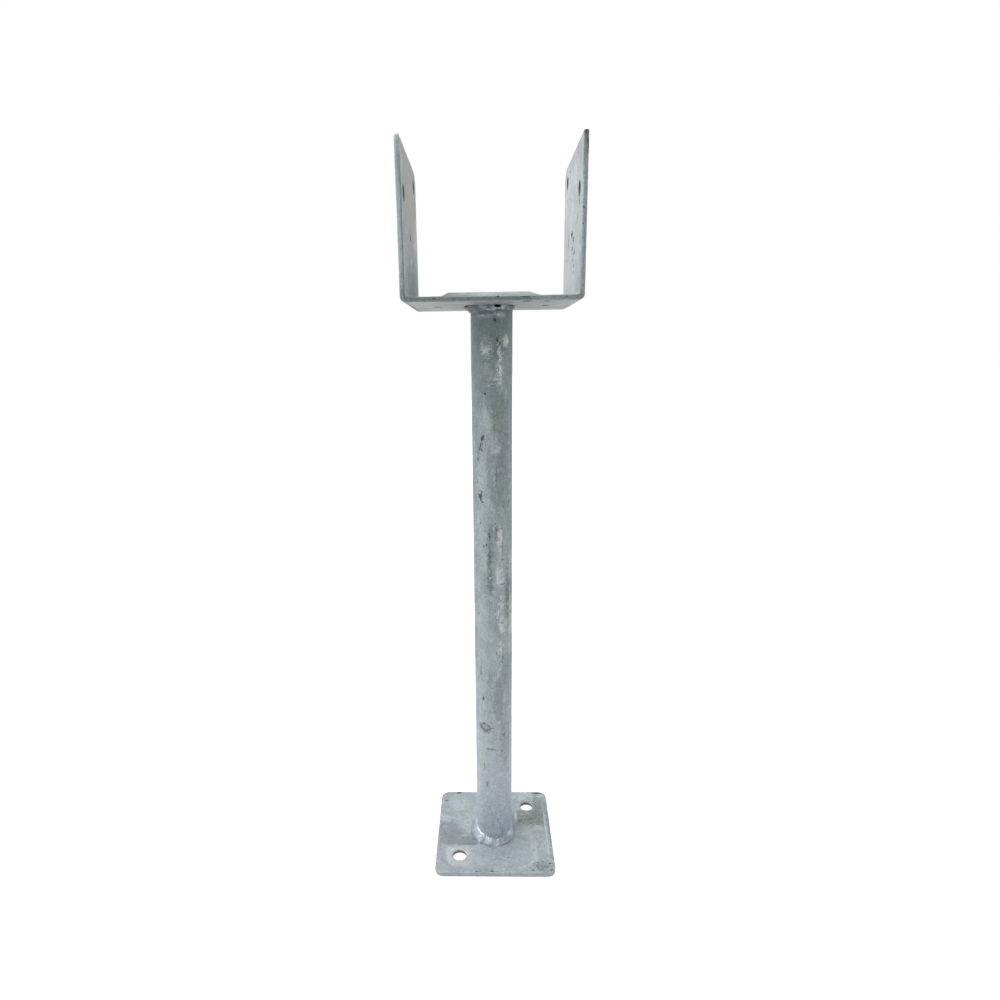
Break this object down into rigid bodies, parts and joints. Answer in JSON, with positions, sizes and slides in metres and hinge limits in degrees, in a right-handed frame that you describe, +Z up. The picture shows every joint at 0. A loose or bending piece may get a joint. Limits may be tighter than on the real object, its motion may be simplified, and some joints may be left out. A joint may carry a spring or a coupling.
{
  "type": "timber post base",
  "caption": "Bolt-down steel base for a timber post: a U saddle for the post's end, carried by a welded tube stem on a square foot plate.",
  "frame": {"origin": "centre of the foot plate's underside, on the stem's axis", "axes": "+Z up the stem, X across the saddle from wall to wall, Y along the channel that takes the post, -Y the front"},
  "size_m": [0.134, 0.11, 0.605],
  "materials": {
    "plate": "hot-dip galvanised, mottled grey",
    "tube": "hot-dip galvanised, with runs and pits",
    "weld": "hot-dip galvanised weld bead"
  },
  "bodies": {
    "root": {"foot_plate": "plate", "foot_weld": "weld", "stem_tube": "tube", "saddle_weld": "weld", "saddle": "plate", "seat_pad": "plate", "seat_pad_weld": "weld"}
  },
  "joints": []
}
